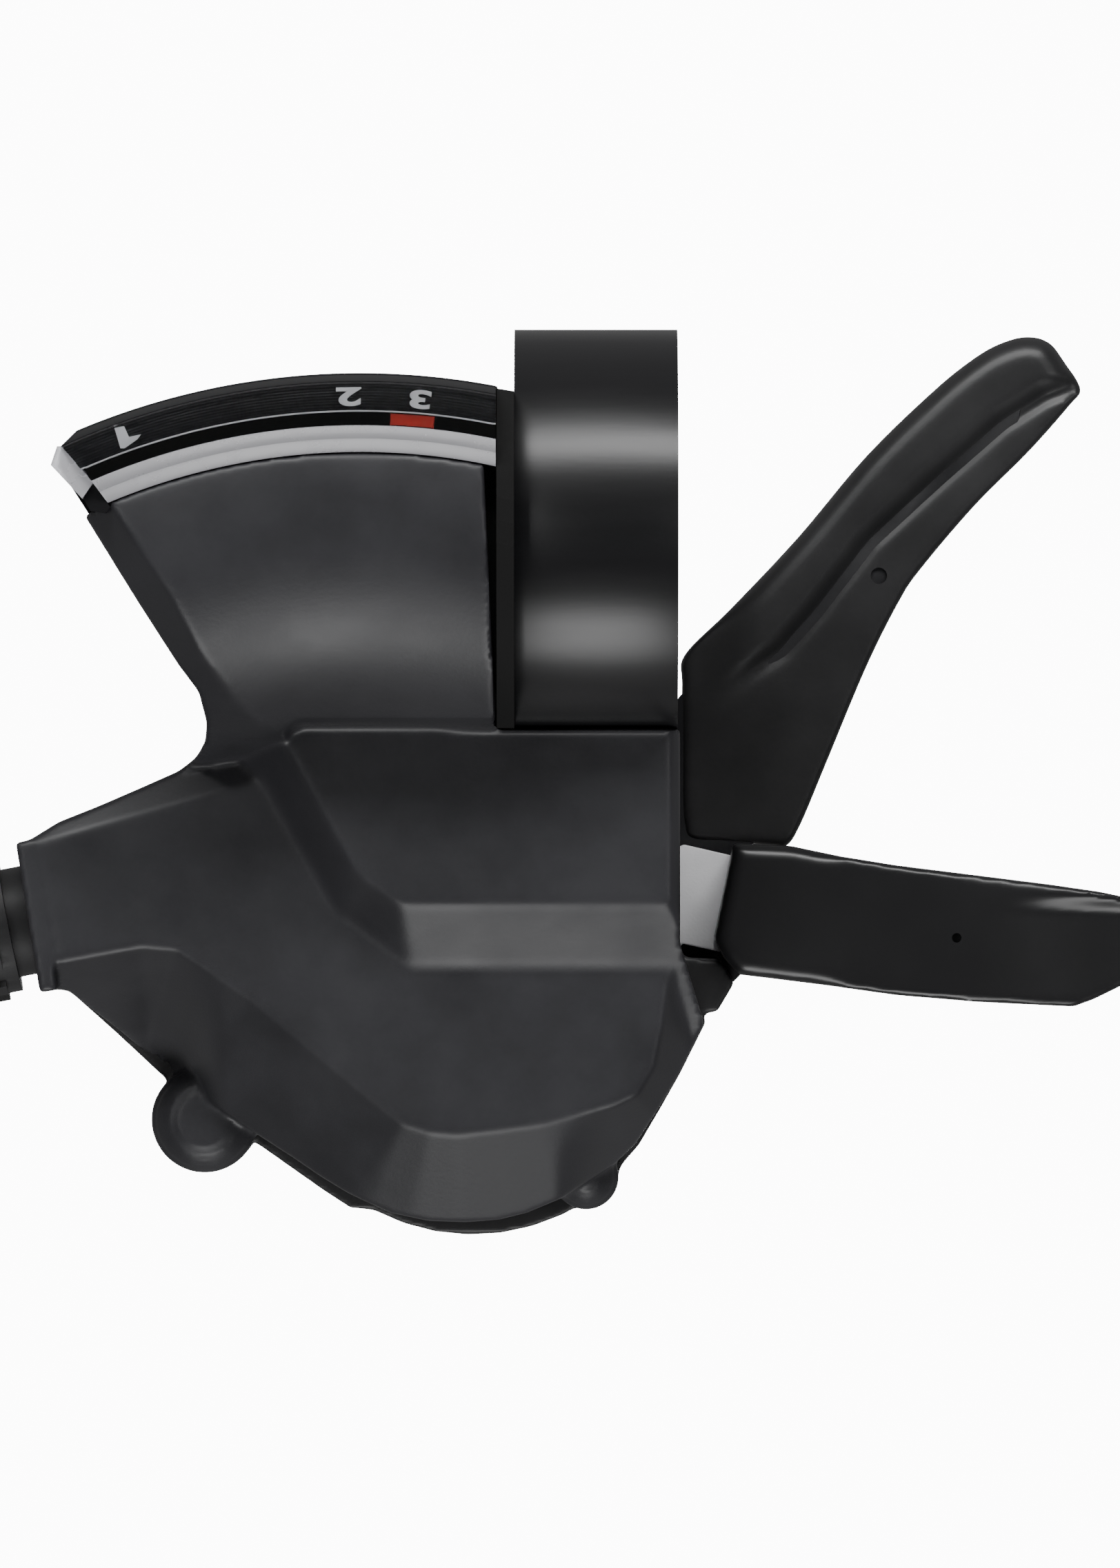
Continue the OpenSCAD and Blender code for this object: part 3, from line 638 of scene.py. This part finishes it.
def build_window():
    """The clear window, its bevelled rim with the two facets at its left end, and the pointer; the rim and
    the first facet are painted pale as a painted highlight, the second facet black as painted shade.
    """
    display_piece("display_window", "indicator_window", WINDOW)
    # The rim is painted pale, as a painted reflection of the light on the bevel
    display_piece("display_bevel", "indicator_window", WINDOW_RIM, "lens_edge")
    # the pale facet is a painted highlight, the black one painted shade
    for name, outline, top, material in (("display_highlight_facet", HIGHLIGHT_FACET, 17.2, "lens_edge"),
                                         ("display_shade_facet", SHADE_FACET, 16.7, "scale_print")):
        place(prism(name, outline, 13, top), "indicator_window", material, replace=False)
    pointer = revolved("pointer", POINTER, PIVOT_MM, POINTER_FROM, POINTER_TO, 8)
    place(pointer, "indicator_pointer")


def build_scale():
    """The black scale with its fine streaks, and the pale line along its inner edge."""
    streaks = [(r, 17.32 - SCALE_TILT * (r - SCALE_IN) - 0.05 * (i % 2))
               for i, r in enumerate(np.linspace(49.45, 51.55, 22))]
    profile = [(SCALE_IN, 15.0), (SCALE_IN, 17.3), *streaks, (51.9, 16.6), (SCALE_OUT, 16.3),
               (SCALE_OUT, 13.0), (51.3, 13.0), (51.3, 15.0)]
    display_piece("display_scale", "indicator_scale", profile)
    line = [(49.28, 16.9), (49.28, 17.3), (49.38, 17.3), (49.38, 16.9)]
    display_piece("scale_edge", "indicator_scale", line, "figures")


def figure_shape(figure, x, y):
    """A figure of the default font, stretched, laid on the scale and facing its pivot."""
    data = bpy.data.curves.new("figure_" + figure, "FONT")
    data.body = figure
    data.size = 2.0 * MM
    data.extrude = 0.05 * MM
    data.offset = 0.07 * MM
    data.align_x = "CENTER"
    data.align_y = "CENTER"
    curve = link("figure_" + figure + "_curve", data)
    bpy.context.view_layer.update()
    mesh = bpy.data.meshes.new_from_object(curve.evaluated_get(bpy.context.evaluated_depsgraph_get()))
    bpy.data.objects.remove(curve)
    turn = math.atan2(y - PIVOT_MM[1], x - PIVOT_MM[0]) + math.pi / 2
    height = 17.34 - SCALE_TILT * (from_pivot(x, y) - SCALE_IN)
    mesh.transform(Matrix.Translation((x * MM, y * MM, height * MM)) @ Matrix.Rotation(turn, 4, "Z")
                   @ Matrix.Rotation(math.atan(SCALE_TILT), 4, "X") @ Matrix.Diagonal((1.8, 0.9, 1, 1)))
    return link("figure_" + figure, mesh)


def build_figures():
    """The gear numbers; the 1 leans and has a long flag, so it is drawn from a listed outline."""
    one = prism("figure_1", FIGURE_1, 0, 0.1)
    for v in one.data.vertices:
        v.co.z += (17.3 - SCALE_TILT * (from_pivot(v.co.x / MM, v.co.y / MM) - SCALE_IN)) * MM
    place(one, "indicator_scale", "figures", replace=False)
    for figure, (x, y) in FIGURES:
        place(figure_shape(figure, x, y), "indicator_scale", "figures", replace=False)


def closed_copy(node):
    """The node's own mesh, welded, as a new object."""
    obj = link(node + "_copy", NODES[node].data.copy())
    bm = bmesh.new()
    bm.from_mesh(obj.data)
    bmesh.ops.remove_doubles(bm, verts=bm.verts, dist=1e-7)
    bm.to_mesh(obj.data)
    bm.free()
    return obj


def build_tray():
    """The tray under the display, kept inside the cover; its near-black colour is painted shade where it
    shows in the gap by the band.
    """
    tray = closed_copy("indicator_base")
    inside = [(-5, -14.6), (-5, 12), (-30, 14), (-38.4, 5.5), (-38.6, 4.3), (-35.8, 0), (-32.6, -5.2),
              (-29.6, -9.9), (-28.3, -11.8), (-27.8, -14.6)]
    combine(tray, prism("inside", inside, -10, 30), "INTERSECT")
    for v in tray.data.vertices:
        if v.co.x > -5.95 * MM:
            v.co.x = AT_BAND * MM
    place(tray, "indicator_base", "dark_inside")
    # A block closing the gap between the fan and the band; partly the housing's side wall, its near-black
    # colour painted shade
    plug = prism("display_gap_shade", [(-7.9, -15.2), (AT_BAND, -15.2), (AT_BAND, -12.8), (-7.9, -12.8)], -6, 3)
    place(plug, "indicator_base", "dark_inside", replace=False)


def edged(node, width):
    """The node's own shape with small rounded edges."""
    obj = closed_copy(node)
    bm = bmesh.new()
    bm.from_mesh(obj.data)
    bmesh.ops.dissolve_limit(bm, angle_limit=math.radians(0.5), verts=bm.verts, edges=bm.edges)
    bm.to_mesh(obj.data)
    bm.free()
    bevel = obj.modifiers.new("edges", "BEVEL")
    bevel.width = width
    bevel.segments = 2
    bevel.limit_method = "ANGLE"
    bevel.angle_limit = math.radians(35)
    bevel.harden_normals = False
    apply_modifiers(obj)
    smooth_by_angle(obj, 30)
    return place(obj, node)


build_window()
build_scale()
build_figures()
build_tray()
for name, width in (("clamp_band", 0.3), ("clamp_bolt", 0.25), ("clamp_nut", 0.2), ("band_screws", 0.2),
                    ("adjuster_knob", 0.25), ("cover_screws", 0.15), ("axle_nut", 0.2),
                    ("release_lever", 0.12), ("main_lever", 0.12), ("bracket", 0.12),
                    ("adjuster_screw", 0.12)):
    edged(name, width * MM)


# ---------------------------------------------------------------- stage
FLOOR_Z = -2.5                  # metres: far below, so that the glow doesn't light the flanks


def area_light(name, direction, distance, size, power):
    """A soft box that looks at the origin from a direction."""
    light = bpy.data.lights.new(name, "AREA")
    light.shape = "RECTANGLE"
    light.size, light.size_y = size
    light.energy = power
    obj = link(name, light)
    way = Vector(direction).normalized()
    obj.location = way * distance
    obj.rotation_euler = way.to_track_quat("Z", "Y").to_euler()
    return obj


def tilt(degrees, towards):
    """A direction leaning from straight up towards +Y (1) or -Y (-1)."""
    a = math.radians(degrees)
    return (0.0, towards * math.sin(a), math.cos(a))


def studio_world():
    """Dim above the horizon, and below it as pale as the floor, which it carries on."""
    world = bpy.data.worlds.new("studio")
    world.use_nodes = True
    nodes, links = world.node_tree.nodes, world.node_tree.links
    coord = nodes.new("ShaderNodeTexCoord")
    parts = nodes.new("ShaderNodeSeparateXYZ")
    links.new(coord.outputs["Generated"], parts.inputs["Vector"])
    level = nodes.new("ShaderNodeMapRange")
    for socket, value in (("From Min", -0.06), ("From Max", 0.0), ("To Min", 0.3), ("To Max", 0.08)):
        level.inputs[socket].default_value = value
    links.new(parts.outputs["Z"], level.inputs["Value"])
    links.new(level.outputs["Result"], nodes["Background"].inputs["Strength"])
    nodes["Background"].inputs["Color"].default_value = (1, 1, 1, 1)
    return world


def floor_material():
    """Pale, and glowing in a disc right under the object, for the photo's white background."""
    mat, nodes, links, bsdf = new_material("floor")
    coord = nodes.new("ShaderNodeTexCoord")
    links.new(two_tone(nodes, links, noise(nodes, links, coord.outputs["Object"], 6),
                       (0.86, 0.86, 0.86), (0.9, 0.9, 0.9)), bsdf.inputs["Base Color"])
    bsdf.inputs["Roughness"].default_value = 0.9
    bsdf.inputs["Emission Color"].default_value = (1, 1, 1, 1)
    glow = nodes.new("ShaderNodeVectorMath")
    glow.operation = "LENGTH"
    links.new(coord.outputs["Object"], glow.inputs[0])
    fade = nodes.new("ShaderNodeMapRange")
    fade.interpolation_type = "SMOOTHSTEP"
    for socket, value in (("From Min", 2.511), ("From Max", 2.53), ("To Min", 12.0), ("To Max", 0.2)):
        fade.inputs[socket].default_value = value
    links.new(glow.outputs["Value"], fade.inputs["Value"])
    links.new(fade.outputs["Result"], bsdf.inputs["Emission Strength"])
    return mat


def build_stage():
    """Floor, four lights and the world."""
    half = 40.0
    mesh = bpy.data.meshes.new("floor")
    corners = [(x, y, FLOOR_Z) for x, y in ((-half, -half), (half, -half), (half, half), (-half, half))]
    mesh.from_pydata(corners, [], [(0, 1, 2, 3)])
    mesh.materials.append(floor_material())
    link("floor", mesh)
    area_light("rider_strip", tilt(50, 1), 0.6, (0.7, 0.16), 4.6)
    area_light("front_box", tilt(63, -1), 0.6, (0.34, 0.32), 2.25)
    area_light("right_fill", (0.9, 0.1, 1.0), 1.0, (0.3, 0.3), 1.0)
    area_light("left_fill", (-0.6, 0.1, 1.0), 1.0, (0.3, 0.3), 1.3)
    bpy.context.scene.world = studio_world()


def build_camera():
    """Straight down onto the cover face, from far enough to be nearly without perspective."""
    centre = Vector((-2.6, -18.45, 0)) * MM
    height, distance = 113.7 * MM, 1.2
    cam = bpy.data.cameras.new("camera")
    cam.sensor_width = 36
    cam.lens = cam.sensor_width * distance / height
    cam.clip_end = 10
    obj = link("camera", cam)
    obj.location = centre + Vector((0, 0, distance))
    bpy.context.scene.camera = obj


build_stage()
build_camera()
